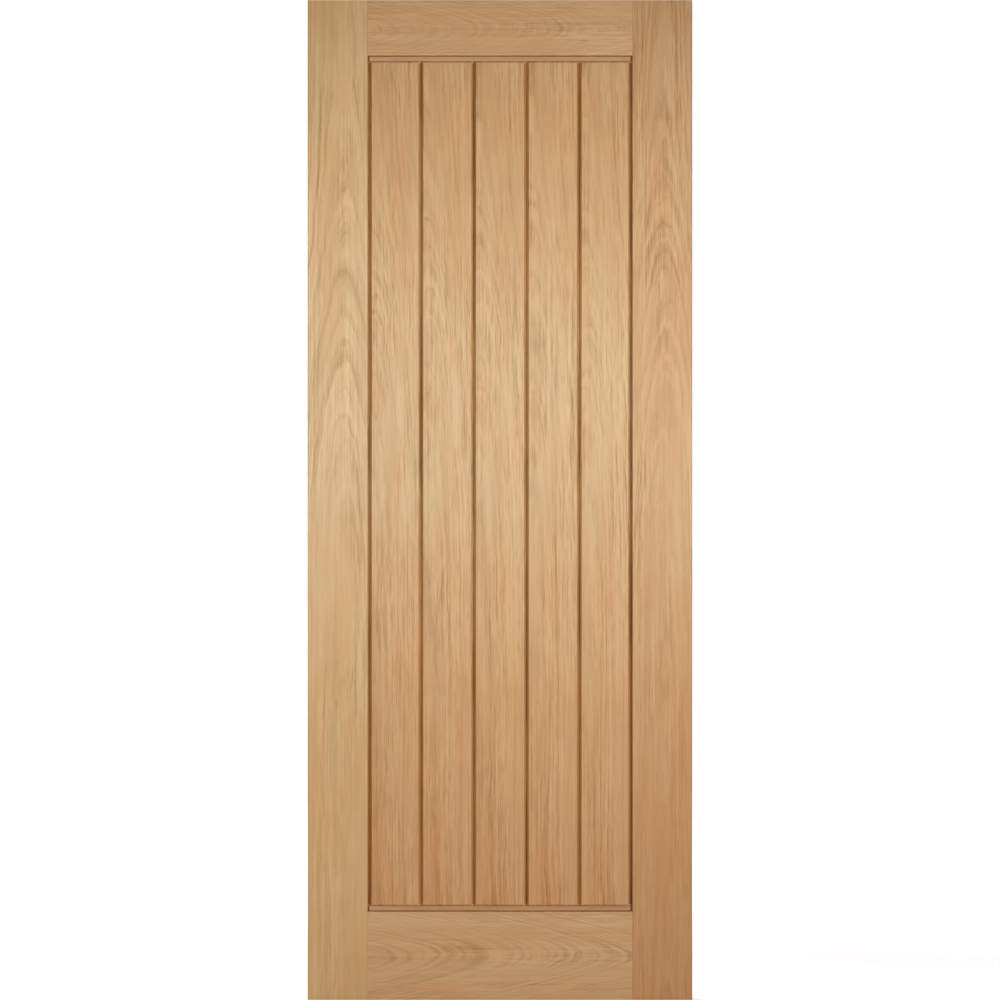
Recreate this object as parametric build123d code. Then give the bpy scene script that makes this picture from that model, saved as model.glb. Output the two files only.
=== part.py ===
from build123d import *
from math import cos, pi, sin
import os

# Boarded oak door leaf, in millimetres.
# Two stiles and two rails make the frame. The rails have stub tenons that sit in the panel groove of the
# stiles, and fluted dowels pin each corner. Five tongued and grooved boards with V joints fill the frame.
# Their edges and ends are cut back to a tongue that lies in the frame's groove, and a narrow bead covers
# the tongue between the board ends and each rail, on both faces.
# The origin is the middle of the leaf's bottom edge. X runs along the width, Y through the thickness with
# the front face at negative Y, and Z up.

# Leaf
door_width = 762.0
door_height = 1981.0
door_thickness = 35.0

# Frame
stile_width = 118.5
top_rail_height = 110.0
bottom_rail_height = 175.0
frame_arris_radius = 1.5
joint_arris_radius = 1.0

# Panel groove in the frame, and the tongue of boards and rails that lies in it
panel_groove_depth = 12.0
panel_tongue_thickness = 17.0
panel_groove_clearance = 0.2
panel_movement_gap = 2.0
tenon_end_clearance = 0.5

# Boards
board_count = 5
panel_setback = 1.5
stile_gap = 4.0
outer_board_trim = 3.0
board_joint_gap = 0.6
v_chamfer_width = 4.8
v_chamfer_depth = 6.0
board_end_chamfer = 3.5
board_end_depth = 2.5

# Tongue and groove between boards
board_tongue_thickness = 10.0
board_tongue_length = 8.0
board_tongue_nose = 1.2
board_groove_clearance = 0.2
board_groove_extra_depth = 1.0

# Beads across the board ends
bead_width = 9.5
bead_setback = 0.5
bead_arris_radius = 2.0
bead_rail_gap = 1.2
bead_board_gap = 0.5

# Corner dowels
dowel_diameter = 12.0
dowel_length = 120.0
dowel_hole_clearance = 0.1
dowel_end_clearance = 2.0
dowel_nose = 1.2
dowel_flute_count = 10
dowel_flute_depth = 0.5
dowel_flute_width_share = 0.5
top_dowel_count = 2
bottom_dowel_count = 3

# Places worked out from the sizes above
quarter_turn = 90
stile_inner_x = door_width / 2 - stile_width
top_rail_edge_z = door_height - top_rail_height
bottom_rail_edge_z = bottom_rail_height
panel_groove_width = panel_tongue_thickness + 2 * panel_groove_clearance
board_thickness = door_thickness - 2 * panel_setback
bead_zone = bead_rail_gap + bead_width + bead_board_gap
board_low_z = bottom_rail_edge_z + bead_zone
board_high_z = top_rail_edge_z - bead_zone
field_half_width = stile_inner_x - stile_gap
board_pitch = 2 * (field_half_width + outer_board_trim) / board_count


def dowel_heights(solid_low: float, solid_high: float, count: int) -> list[float]:
    """Heights of one corner's dowels, spread evenly over the solid wood of the rail."""
    step = (solid_high - solid_low) / count
    return [solid_low + step / 2 + step * index for index in range(count)]


top_dowel_heights = dowel_heights(top_rail_edge_z + panel_groove_depth, door_height, top_dowel_count)
bottom_dowel_heights = dowel_heights(0, bottom_rail_edge_z - panel_groove_depth, bottom_dowel_count)


def dowel_bore(side: int, height: float) -> Part:
    """Hole for one dowel, half in the stile on that side and half in the rail."""
    bore_length = dowel_length + 2 * dowel_end_clearance
    bore = Cylinder(dowel_diameter / 2 + dowel_hole_clearance, bore_length)
    return Pos(side * stile_inner_x, 0, height) * Rot(0, quarter_turn, 0) * bore


def stile_section() -> Sketch:
    """Section of the right stile: eased arrises, and the panel groove in the inner edge."""
    blank = Pos(stile_inner_x + stile_width / 2, 0) * Rectangle(stile_width, door_thickness)
    blank = fillet(blank.vertices().sort_by(Axis.X)[-2:], frame_arris_radius)
    blank = fillet(blank.vertices().sort_by(Axis.X)[:2], joint_arris_radius)
    groove = Rectangle(panel_groove_depth, panel_groove_width)
    return blank - Pos(stile_inner_x + panel_groove_depth / 2, 0) * groove


def stile(side: int) -> Part:
    """One stile, the left for side -1 and the right for side +1, bored for its dowels."""
    upright = extrude(stile_section(), door_height)
    if side < 0:
        upright = mirror(upright, Plane.YZ)
    for height in top_dowel_heights + bottom_dowel_heights:
        upright -= dowel_bore(side, height)
    return upright


def rail_section(rail_height: float) -> Sketch:
    """Section of a rail that stands on zero, with the panel groove in its upper edge."""
    blank = Pos(0, rail_height / 2) * Rectangle(door_thickness, rail_height)
    blank = fillet(blank.vertices().sort_by(Axis.Y)[-2:], joint_arris_radius)
    groove = Rectangle(panel_groove_width, panel_groove_depth)
    return blank - Pos(0, rail_height - panel_groove_depth / 2) * groove


def rail(rail_height: float, heights: list[float], at_top: bool) -> Part:
    """One rail with a stub tenon at each end, turned over at the top, bored for its dowels."""
    bar = extrude(Plane.YZ * rail_section(rail_height), stile_inner_x, both=True)
    tenon_height = rail_height - panel_groove_depth
    tenon_tip_x = stile_inner_x + panel_groove_depth - tenon_end_clearance
    tenon = Box(2 * tenon_tip_x, panel_tongue_thickness, tenon_height)
    bar += Pos(0, 0, tenon_height / 2) * tenon
    if at_top:
        bar = Pos(0, 0, door_height) * mirror(bar, Plane.XY)
    for side in (-1, 1):
        for height in heights:
            bar -= dowel_bore(side, height)
    return bar


def board_section(left: float, right: float) -> Sketch:
    """Section across a board between its two shoulders: a V chamfer at each corner."""
    face_y = board_thickness / 2
    shoulder_y = face_y - v_chamfer_depth
    back = [
        (right, shoulder_y),
        (right - v_chamfer_width, face_y),
        (left + v_chamfer_width, face_y),
        (left, shoulder_y),
    ]
    front = [(x, -y) for x, y in reversed(back)]
    return Polygon(*back, *front, align=None)


def board_long_section() -> Sketch:
    """Section along a board: chamfered shoulders, and a tongue at each end for the rails.

    The lower tongue stands on the floor of its groove, and the upper one has room to move.
    """
    face_y = board_thickness / 2
    shoulder_y = face_y - board_end_depth
    back = [
        (shoulder_y, board_low_z),
        (face_y, board_low_z + board_end_chamfer),
        (face_y, board_high_z - board_end_chamfer),
        (shoulder_y, board_high_z),
    ]
    front = [(-y, z) for y, z in reversed(back)]
    body = Polygon(*back, *front, align=None)
    tongue_low_z = bottom_rail_edge_z - panel_groove_depth
    tongue_high_z = top_rail_edge_z + panel_groove_depth - panel_movement_gap
    tongue = Rectangle(panel_tongue_thickness, tongue_high_z - tongue_low_z)
    return body + Pos(0, (tongue_low_z + tongue_high_z) / 2) * tongue


def joint_tongue(shoulder_x: float) -> Sketch:
    """Tongue on a board's right edge, with its nose eased to enter the next board's groove."""
    reach = board_tongue_length + board_joint_gap
    blank = Pos(shoulder_x + reach / 2, 0) * Rectangle(reach, board_tongue_thickness)
    return chamfer(blank.vertices().sort_by(Axis.X)[-2:], board_tongue_nose)


def joint_groove(shoulder_x: float) -> Sketch:
    """Groove in a board's left edge for the tongue of the board before it."""
    depth = board_tongue_length + board_groove_extra_depth
    width = board_tongue_thickness + 2 * board_groove_clearance
    return Pos(shoulder_x + depth / 2, 0) * Rectangle(depth, width)


def stile_tongue(side: int) -> Sketch:
    """Tongue on an outer board that crosses the gap beside the stile into the stile's groove."""
    reach = stile_gap + panel_groove_depth - panel_movement_gap
    return Pos(side * (field_half_width + reach / 2), 0) * Rectangle(reach, panel_tongue_thickness)


def board(index: int) -> Part:
    """One board, counted from the left. The outer two are narrower and have a tongue for their stile."""
    is_first = index == 0
    is_last = index == board_count - 1
    joint_x = board_pitch * (index - board_count / 2)
    left = -field_half_width if is_first else joint_x + board_joint_gap / 2
    right = field_half_width if is_last else joint_x + board_pitch - board_joint_gap / 2
    section = board_section(left, right)
    if is_first:
        section += stile_tongue(-1)
    else:
        section -= joint_groove(left)
    if is_last:
        section += stile_tongue(1)
    else:
        section += joint_tongue(right)
    moulded = extrude(section, door_height)
    ends = extrude(Plane.YZ * board_long_section(), door_width, both=True)
    return moulded & ends


def bead(face: int, at_top: bool) -> Part:
    """Bead on the board tongues beside a rail, on the front for face -1 and on the back for face +1."""
    depth = (board_thickness - panel_tongue_thickness) / 2 - bead_setback
    blank = Pos(panel_tongue_thickness / 2 + depth / 2, 0) * Rectangle(depth, bead_width)
    arris = min(bead_arris_radius, depth / 2, bead_width / 3)
    section = fillet(blank.vertices().sort_by(Axis.X)[-2:], arris)
    from_rail = bead_rail_gap + bead_width / 2
    height = top_rail_edge_z - from_rail if at_top else bottom_rail_edge_z + from_rail
    strip = Pos(0, 0, height) * extrude(Plane.YZ * section, field_half_width, both=True)
    return mirror(strip, Plane.XZ) if face < 0 else strip


def dowel_section(radius: float) -> Sketch:
    """Section of a dowel: flat lands with a V-shaped glue flute between each two."""
    flute_radius = radius - dowel_flute_depth
    period = 2 * pi / dowel_flute_count
    half_land = period * (1 - dowel_flute_width_share) / 2
    points = []
    for index in range(dowel_flute_count):
        middle = period * index
        for turn, reach in ((-half_land, radius), (half_land, radius), (period / 2, flute_radius)):
            points.append((reach * cos(middle + turn), reach * sin(middle + turn)))
    return Polygon(*points, align=None)


def fluted_dowel() -> Part:
    """One dowel along Z with a tapered nose at each end."""
    radius = dowel_diameter / 2
    shank_length = dowel_length - 2 * dowel_nose
    shank = extrude(dowel_section(radius), shank_length / 2, both=True)
    shoulder = Pos(0, 0, shank_length / 2) * dowel_section(radius)
    tip = Pos(0, 0, dowel_length / 2) * dowel_section(radius - dowel_nose)
    nose = loft([shoulder, tip], ruled=True)
    return shank + nose + mirror(nose, Plane.XY)


def corner_dowels(side: int, heights: list[float]) -> Compound:
    """The dowels of one corner joint."""
    peg = Rot(0, quarter_turn, 0) * fluted_dowel()
    return Compound([Pos(side * stile_inner_x, 0, height) * peg for height in heights])


def door_leaf() -> dict[str, Part | Compound]:
    """Every piece of the leaf, by name."""
    pieces = {
        "left_stile": stile(-1),
        "right_stile": stile(1),
        "top_rail": rail(top_rail_height, top_dowel_heights, True),
        "bottom_rail": rail(bottom_rail_height, bottom_dowel_heights, False),
    }
    for index in range(board_count):
        pieces[f"board_{index + 1}"] = board(index)
    for face, face_name in ((-1, "front"), (1, "back")):
        pieces[f"top_bead_{face_name}"] = bead(face, True)
        pieces[f"bottom_bead_{face_name}"] = bead(face, False)
    for side, side_name in ((-1, "left"), (1, "right")):
        pieces[f"top_{side_name}_dowels"] = corner_dowels(side, top_dowel_heights)
        pieces[f"bottom_{side_name}_dowels"] = corner_dowels(side, bottom_dowel_heights)
    return pieces


os.makedirs("parts", exist_ok=True)
for node, piece in door_leaf().items():
    export_step(piece, f"parts/{node}.step")
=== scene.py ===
"""Looks of a boarded oak door leaf, built over its packed joinery.

The stiles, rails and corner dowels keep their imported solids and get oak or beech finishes. The five
V-jointed boards and the four cross beads are run again from their sections, with softened arrises, and
stand for their solids. All lengths are in metres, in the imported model's frame.
"""

import logging
import math
from dataclasses import dataclass, field, fields, replace
from enum import Enum
from functools import reduce

import bmesh
import bpy
from mathutils import Matrix, Vector


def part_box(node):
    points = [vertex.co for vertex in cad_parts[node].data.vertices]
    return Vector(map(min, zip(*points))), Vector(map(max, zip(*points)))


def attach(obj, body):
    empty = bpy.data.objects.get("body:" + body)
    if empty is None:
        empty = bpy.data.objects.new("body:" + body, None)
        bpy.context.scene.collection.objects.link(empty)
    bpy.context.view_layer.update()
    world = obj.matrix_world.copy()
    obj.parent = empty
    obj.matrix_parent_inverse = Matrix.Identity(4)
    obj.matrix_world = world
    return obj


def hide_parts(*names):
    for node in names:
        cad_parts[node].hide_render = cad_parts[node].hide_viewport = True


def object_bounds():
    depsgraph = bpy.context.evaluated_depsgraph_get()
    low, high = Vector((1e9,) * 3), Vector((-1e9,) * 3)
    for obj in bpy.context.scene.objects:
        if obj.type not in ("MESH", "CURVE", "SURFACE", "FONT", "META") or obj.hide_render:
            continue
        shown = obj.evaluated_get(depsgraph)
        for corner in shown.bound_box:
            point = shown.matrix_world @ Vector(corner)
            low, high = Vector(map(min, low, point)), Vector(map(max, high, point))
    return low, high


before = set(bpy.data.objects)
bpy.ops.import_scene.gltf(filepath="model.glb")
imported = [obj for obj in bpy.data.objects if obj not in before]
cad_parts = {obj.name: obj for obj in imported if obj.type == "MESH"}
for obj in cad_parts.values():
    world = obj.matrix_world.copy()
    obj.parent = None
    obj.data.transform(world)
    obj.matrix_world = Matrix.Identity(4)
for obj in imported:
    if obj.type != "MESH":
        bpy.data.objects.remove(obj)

CAD_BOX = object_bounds()
BODY = "root"
MM = 0.001
QUARTER_TURN = math.pi / 2
NOISE_MIDDLE = 0.5
PLAIN_DETAIL = 1.0

FLOAT = "NodeSocketFloat"
VECTOR = "NodeSocketVector"
COLOUR = "NodeSocketColor"
GEOMETRY = "NodeSocketGeometry"

Triple = tuple[float, float, float]
Colour = tuple[float, float, float]
Point = tuple[float, float]
Socket = bpy.types.NodeSocket
Tree = bpy.types.NodeTree
Feed = Socket | float | int | str | tuple
Inputs = dict[int | str, Feed]
log = logging.getLogger("door_leaf")


class GrainRun(Enum):
    """Which way the grain of a piece runs."""

    UPRIGHT = "upright"
    LEVEL = "level"


class EdgeJoint(Enum):
    """What a board carries on one of its long edges."""

    TONGUE = "tongue"
    GROOVE = "groove"
    STILE_TONGUE = "stile tongue"


def label_of(name: str) -> str:
    """The label of the group input that a field of this name feeds."""
    return name.replace("_", " ").capitalize()


def values_of(owner: object) -> dict[str, Feed]:
    """A dataclass's values by the labels of the inputs that they feed, with its colours made opaque."""
    values = {label_of(item.name): getattr(owner, item.name) for item in fields(owner)}
    return {key: (*value, 1.0) if isinstance(value, tuple) else value for key, value in values.items()}


def floats(*labels: str) -> dict[str, str]:
    """Plain number sockets with these labels."""
    return {label: FLOAT for label in labels}


class NodeDesk:
    """Adds nodes to one tree and wires them together."""

    def __init__(self, tree: Tree) -> None:
        """Keep the tree to work on."""
        self.tree = tree

    def add(self, kind: str, fed: Inputs | None = None, **settings: object) -> bpy.types.Node:
        """Add one node.

        Args:
            kind: The node's type name.
            fed: What its inputs get, by their numbers or names.
            settings: Properties to set on it.

        Returns:
            The new node.
        """
        node = self.tree.nodes.new(kind)
        for name, value in settings.items():
            setattr(node, name, value)
        for key, value in (fed or {}).items():
            self.feed(node.inputs[key], value)
        return node

    def feed(self, socket: Socket, value: Feed) -> None:
        """Link a socket to an input, or set the input's own value.

        Args:
            socket: The input.
            value: What it gets.
        """
        if isinstance(value, Socket):
            self.tree.links.new(value, socket)
        else:
            socket.default_value = value

    def made(self, kind: str, fed: Inputs | None = None, output: int | str = 0,
             **settings: object) -> Socket:
        """One output of a new node."""
        return self.add(kind, fed, **settings).outputs[output]

    def math(self, operation: str, first: Feed, second: Feed = 0.0, clamp: bool = False) -> Socket:
        """Work out one number from two, kept within zero and one if clamp is set."""
        return self.made("ShaderNodeMath", {0: first, 1: second}, operation=operation, use_clamp=clamp)

    def total(self, *values: Feed) -> Socket:
        """Add up several numbers."""
        return reduce(lambda first, second: self.math("ADD", first, second), values)

    def times(self, *values: Feed) -> Socket:
        """Multiply several numbers."""
        return reduce(lambda first, second: self.math("MULTIPLY", first, second), values)

    def minus(self, first: Feed, second: Feed) -> Socket:
        """Take one number from another."""
        return self.math("SUBTRACT", first, second)

    def spread(self, value: Feed, low: Feed, high: Feed, to_low: Feed = 0.0, to_high: Feed = 1.0,
               smooth: bool = True) -> Socket:
        """Map a range of values onto another, held at both ends.

        Args:
            value: The value to map.
            low: Value that gives to_low.
            high: Value that gives to_high.
            to_low: Result at low.
            to_high: Result at high.
            smooth: Whether the change eases in and out.

        Returns:
            The mapped value.
        """
        ease = "SMOOTHSTEP" if smooth else "LINEAR"
        fed = dict(enumerate((value, low, high, to_low, to_high)))
        return self.made("ShaderNodeMapRange", fed, interpolation_type=ease, clamp=True)

    def blend(self, factor: Feed, first: Feed, second: Feed) -> Socket:
        """Mix two numbers."""
        return self.made("ShaderNodeMix", {0: factor, 2: first, 3: second}, data_type="FLOAT")

    def tint(self, factor: Feed, first: Feed, second: Feed, how: str = "MIX") -> Socket:
        """Lay a second colour on a first, by the Mix node's blend type."""
        fed = {0: factor, 6: first, 7: second}
        return self.made("ShaderNodeMix", fed, 2, data_type="RGBA", blend_type=how)

    def shade(self, factor: Feed, colour: Feed, shade: Feed) -> Socket:
        """Darken a colour by a shade."""
        return self.tint(factor, colour, shade, "MULTIPLY")

    def vector(self, operation: str, first: Feed, second: Feed) -> Socket:
        """Work out one vector from two."""
        return self.made("ShaderNodeVectorMath", {0: first, 1: second}, operation=operation)

    def split(self, place: Feed) -> list[Socket]:
        """The three parts of a vector."""
        return list(self.add("ShaderNodeSeparateXYZ", {0: place}).outputs)

    def join(self, x: Feed, y: Feed, z: Feed) -> Socket:
        """A vector from its three parts."""
        return self.made("ShaderNodeCombineXYZ", {0: x, 1: y, 2: z})

    def noise(self, place: Feed, scale: Triple, detail: float = 2.0) -> Socket:
        """Soft noise from zero to one, stretched by its scale, with finer layers by its detail."""
        fed = {"Vector": self.vector("MULTIPLY", place, scale), "Scale": 1.0, "Detail": detail}
        return self.made("ShaderNodeTexNoise", fed)

    def centred_noise(self, place: Feed, scale: Triple, size: Feed, detail: float = 2.0) -> Socket:
        """Noise about zero, which moves by the size either way at most."""
        around_zero = self.minus(self.noise(place, scale, detail), NOISE_MIDDLE)
        return self.times(around_zero, size, 2.0)


class GroupDesk(NodeDesk):
    """A desk for a new node group with named inputs and outputs."""

    def __init__(self, name: str, inputs: dict[str, str], outputs: dict[str, str],
                 kind: str = "ShaderNodeTree") -> None:
        """Start the group.

        Args:
            name: The group's name.
            inputs: Socket type for each input's label.
            outputs: Socket type for each output's label.
            kind: The tree's type name.
        """
        super().__init__(bpy.data.node_groups.new(name, kind))
        for side, sockets in (("INPUT", inputs), ("OUTPUT", outputs)):
            for label, socket_type in sockets.items():
                self.tree.interface.new_socket(label, in_out=side, socket_type=socket_type)
        self.given = self.add("NodeGroupInput").outputs
        self.result = self.add("NodeGroupOutput").inputs

    def give(self, label: str, value: Feed) -> None:
        """Feed one of the group's outputs."""
        self.feed(self.result[label], value)


def emptied_desk(owner: bpy.types.Material | bpy.types.World) -> NodeDesk:
    """Start a material or a world with no nodes.

    Args:
        owner: The material or world.

    Returns:
        The desk for its tree.
    """
    owner.use_nodes = True
    owner.node_tree.nodes.clear()
    return NodeDesk(owner.node_tree)


class OakEffects:
    """The shader node groups that every oak finish shares, each built once.

    A scale gives the ups and downs for each metre across, through and along the grain. A reach gives the
    two values between which an effect goes from none to full.
    """

    # All patterns
    SEED_STEP = (13.7, 7.3, 3.1)
    NOISE_REACH = (0.34, 0.66)
    # Growth rings
    BOW_SCALE = (0.0, 0.0, 1.3)
    BOW_SHARE = 5.0
    SWINGS = (((8.0, 8.0, 2.6), 1.0), ((28.0, 28.0, 9.0), 0.58), ((95.0, 95.0, 28.0), 0.26))
    UNEVEN_SCALE = (48.0, 1.0, 1.0)
    UNEVEN_RINGS = 0.9
    FEATHER_SCALE = (240.0, 240.0, 14.0)
    FEATHER_RINGS = 0.20
    RING_PEAK = 0.18
    WEAK_RING = 0.25
    PATCH_SCALE = (16.0, 16.0, 4.0)
    PATCH_REACH = (0.34, 0.62)
    CALM_REACH = (-0.95, -0.35)
    # Lines that follow the rings
    DARK_LINE_SCALE = (150.0, 40.0, 2.0)
    PALE_LINE_SCALE = (185.0, 40.0, 2.6)
    LINE_HALF = 0.045
    PALE_LINE_SHARE = -0.5
    FINE_LINE_SCALE = (400.0, 40.0, 2.4)
    FINE_LINE_SHARE = 0.6
    # Fibres, pores and slow drifts
    STREAK_SCALE = (22.0, 22.0, 3.0)
    STREAK_REACH = (0.36, 0.64)
    STREAK_SHARES = (0.30, 1.40)
    FIBRE_SCALES = ((310.0, 310.0, 3.0), (540.0, 540.0, 26.0))
    FINE_FIBRE_SHARE = 0.55
    BAND_SCALE = (46.0, 46.0, 1.8)
    PORE_SCALE = (470.0, 470.0, 44.0)
    PORE_REACH = (0.57, 0.72)
    FULL_EARLY = 0.6
    LATE_PORES = 0.3
    CLOUD_SCALE = (17.0, 17.0, 9.0)
    CLOUD_DETAIL = 3.0
    FLUSH_SCALES = ((30.0, 30.0, 4.5), (90.0, 90.0, 1.2))
    FINE_FLUSH_SHARE = 0.3
    FLUSH_REACH = (0.40, 0.60)
    PORE_SINK = -1.0
    FIBRE_LIFT = 0.3
    # Colour, and roughness of plain wood and of pores
    MIDDLE_TONE = 0.16
    FIGURE_TONES = {"Early": 0.28, "Lines": 0.18}
    TEXTURE_TONES = {"Fibres": 0.22, "Pores": 0.10, "Bands": 0.03, "Clouds": 0.035}
    ROUGHNESS = (0.46, 0.66)
    QUICK_SHARE = 0.5
    # Painted shade that darkens the roots of the joints more in some stretches than in others
    GATHER_SCALE = (9.0, 0.0, 3.4)
    GATHER_REACH = (0.44, 0.64)
    GATHER_SHADE = (0.60, 0.53, 0.46)

    def __init__(self) -> None:
        """Build all the groups."""
        self.growth = self.build_growth()
        self.fibre = self.build_fibre()
        self.colour = self.build_colour()
        self.joint_shade = self.build_joint_shade()
        self.cut_shade = self.build_cut_shade()
        self.length_tone = self.build_length_tone()

    def seeded(self, desk: GroupDesk, place: Feed) -> Socket:
        """A place moved far off by the group's seed, so that two pieces never share a pattern."""
        return desk.vector("ADD", place, desk.vector("MULTIPLY", desk.given["Seed"], self.SEED_STEP))

    def about_zero(self, desk: GroupDesk, noise: Feed) -> Socket:
        """Noise stretched to run from minus one to one."""
        return desk.spread(noise, *self.NOISE_REACH, -1.0, 1.0, smooth=False)

    def thin_lines(self, desk: GroupDesk, place: Feed, scale: Triple) -> Socket:
        """Thin unbroken lines, where a noise passes through its middle."""
        off_middle = desk.math("ABSOLUTE", desk.minus(desk.noise(place, scale), NOISE_MIDDLE))
        return desk.spread(off_middle, 0.0, self.LINE_HALF, 1.0, 0.0)

    def build_growth(self) -> Tree:
        """Growth rings about a pith line behind the face, with a crown where the cut runs out of them.

        Returns:
            The group. Early is the porous start of each ring. Grown is the distance grown from the pith,
            by which a pattern can follow the rings. Calm is the share of the figure that is left, which
            falls off below the crown.
        """
        inputs = {"Place": VECTOR} | floats(
            "Seed", "Pith across", "Pith depth", "Ring width", "Crown height", "Crown reach",
            "Crown rise", "Lean", "Wander", "Ring fade", "Foot calm")
        desk = GroupDesk("oak_growth", inputs, floats("Early", "Grown", "Calm"))
        given, wander = desk.given, desk.given["Wander"]
        place = self.seeded(desk, given["Place"])
        across, through, along = desk.split(given["Place"])
        bow_size = desk.times(wander, self.BOW_SHARE)
        bow = desk.centred_noise(place, self.BOW_SCALE, bow_size, PLAIN_DETAIL)
        to_pith = desk.minus(desk.minus(across, given["Pith across"]), bow)
        depth = desk.minus(through, given["Pith depth"])
        squares = desk.total(desk.math("POWER", to_pith, 2.0), desk.math("POWER", depth, 2.0))
        from_crown = desk.minus(along, given["Crown height"])
        crown = desk.math("TANH", desk.math("DIVIDE", from_crown, given["Crown reach"]))
        swings = (
            desk.centred_noise(place, scale, desk.times(wander, share)) for scale, share in self.SWINGS)
        grown = desk.total(
            desk.math("SQRT", squares), desk.times(crown, given["Crown rise"]),
            desk.times(along, given["Lean"]), *swings)
        by_ring = desk.join(grown, given["Seed"], 0.0)
        uneven = desk.centred_noise(by_ring, self.UNEVEN_SCALE, self.UNEVEN_RINGS)
        feather = desk.centred_noise(place, self.FEATHER_SCALE, self.FEATHER_RINGS)
        rings = desk.total(desk.math("DIVIDE", grown, given["Ring width"]), uneven, feather)
        phase = desk.math("FRACT", rings)
        rise = desk.spread(phase, 0.0, self.RING_PEAK)
        fall = desk.spread(phase, self.RING_PEAK, given["Ring fade"], 1.0, 0.0)
        number = desk.total(desk.math("FLOOR", rings), given["Seed"])
        chance = desk.made("ShaderNodeTexWhiteNoise", {"W": number}, "Value", noise_dimensions="1D")
        strength = desk.spread(chance, 0.0, 1.0, self.WEAK_RING, 1.0, smooth=False)
        patchy = desk.spread(desk.noise(place, self.PATCH_SCALE), *self.PATCH_REACH, self.WEAK_RING, 1.0)
        desk.give("Early", desk.times(rise, fall, strength, patchy))
        desk.give("Grown", grown)
        desk.give("Calm", desk.spread(from_crown, *self.CALM_REACH, given["Foot calm"], 1.0))
        return desk.tree

    def build_fibre(self) -> Tree:
        """Grain lines, fibres, pores and slow drifts of tone and hue.

        Returns:
            The group. Lines follow the rings, Fibres and Pores run with the grain, and Relief is its
            surface.
        """
        inputs = {"Place": VECTOR} | floats("Grown", "Seed", "Early")
        outputs = floats("Lines", "Fibres", "Bands", "Pores", "Clouds", "Flush", "Relief")
        desk = GroupDesk("oak_fibre", inputs, outputs)
        given = desk.given
        place = self.seeded(desk, given["Place"])
        _, through, along = desk.split(given["Place"])
        by_ring = self.seeded(desk, desk.join(given["Grown"], through, along))
        streaky = desk.spread(
            desk.noise(place, self.STREAK_SCALE), *self.STREAK_REACH, *self.STREAK_SHARES)
        dark_lines = self.thin_lines(desk, by_ring, self.DARK_LINE_SCALE)
        pale_lines = self.thin_lines(desk, by_ring, self.PALE_LINE_SCALE)
        fine_lines = self.about_zero(desk, desk.noise(by_ring, self.FINE_LINE_SCALE, PLAIN_DETAIL))
        lines = desk.total(
            dark_lines,
            desk.times(pale_lines, self.PALE_LINE_SHARE),
            desk.times(fine_lines, self.FINE_LINE_SHARE),
        )
        long, short = (desk.noise(place, scale, PLAIN_DETAIL) for scale in self.FIBRE_SCALES)
        fibres = self.about_zero(desk, desk.blend(self.FINE_FIBRE_SHARE, long, short))
        clouds = desk.noise(place, self.CLOUD_SCALE, self.CLOUD_DETAIL)
        pores = desk.spread(desk.noise(place, self.PORE_SCALE, PLAIN_DETAIL), *self.PORE_REACH)
        in_early = desk.spread(given["Early"], 0.0, self.FULL_EARLY, self.LATE_PORES, 1.0, smooth=False)
        broad, narrow = (desk.noise(place, scale) for scale in self.FLUSH_SCALES)
        flush = desk.blend(self.FINE_FLUSH_SHARE, broad, narrow)
        relief = desk.total(desk.times(pores, self.PORE_SINK), desk.times(fibres, self.FIBRE_LIFT))
        desk.give("Lines", desk.times(lines, streaky))
        desk.give("Fibres", desk.times(fibres, streaky))
        desk.give("Bands", self.about_zero(desk, desk.noise(place, self.BAND_SCALE)))
        desk.give("Pores", desk.times(pores, in_early))
        desk.give("Clouds", self.about_zero(desk, clouds))
        desk.give("Flush", desk.spread(flush, *self.FLUSH_REACH))
        desk.give("Relief", relief)
        return desk.tree

    def build_colour(self) -> Tree:
        """Oak's colour and roughness from its growth and fibre.

        Returns:
            The group. Strength scales the rings and lines, Texture the fibres and pores.
        """
        inputs = {"Pale": COLOUR, "Flushed": COLOUR, "Line": COLOUR}
        inputs |= floats("Flush", "Strength", "Texture", "Calm", *self.FIGURE_TONES, *self.TEXTURE_TONES)
        desk = GroupDesk("oak_colour", inputs, {"Colour": COLOUR, "Roughness": FLOAT})
        given = desk.given
        figured, textured = (
            desk.total(*(desk.times(given[part], tone) for part, tone in tones.items()))
            for tones in (self.FIGURE_TONES, self.TEXTURE_TONES))
        grain = desk.total(
            desk.times(figured, given["Strength"]), desk.times(textured, given["Texture"]))
        dark = desk.total(self.MIDDLE_TONE, desk.times(grain, given["Calm"]))
        wood = desk.tint(given["Flush"], given["Pale"], given["Flushed"])
        wood = desk.tint(desk.math("MAXIMUM", dark, 0.0, clamp=True), wood, given["Line"])
        desk.give("Colour", wood)
        desk.give("Roughness", desk.spread(given["Pores"], 0.0, 1.0, *self.ROUGHNESS, smooth=False))
        return desk.tree

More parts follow.
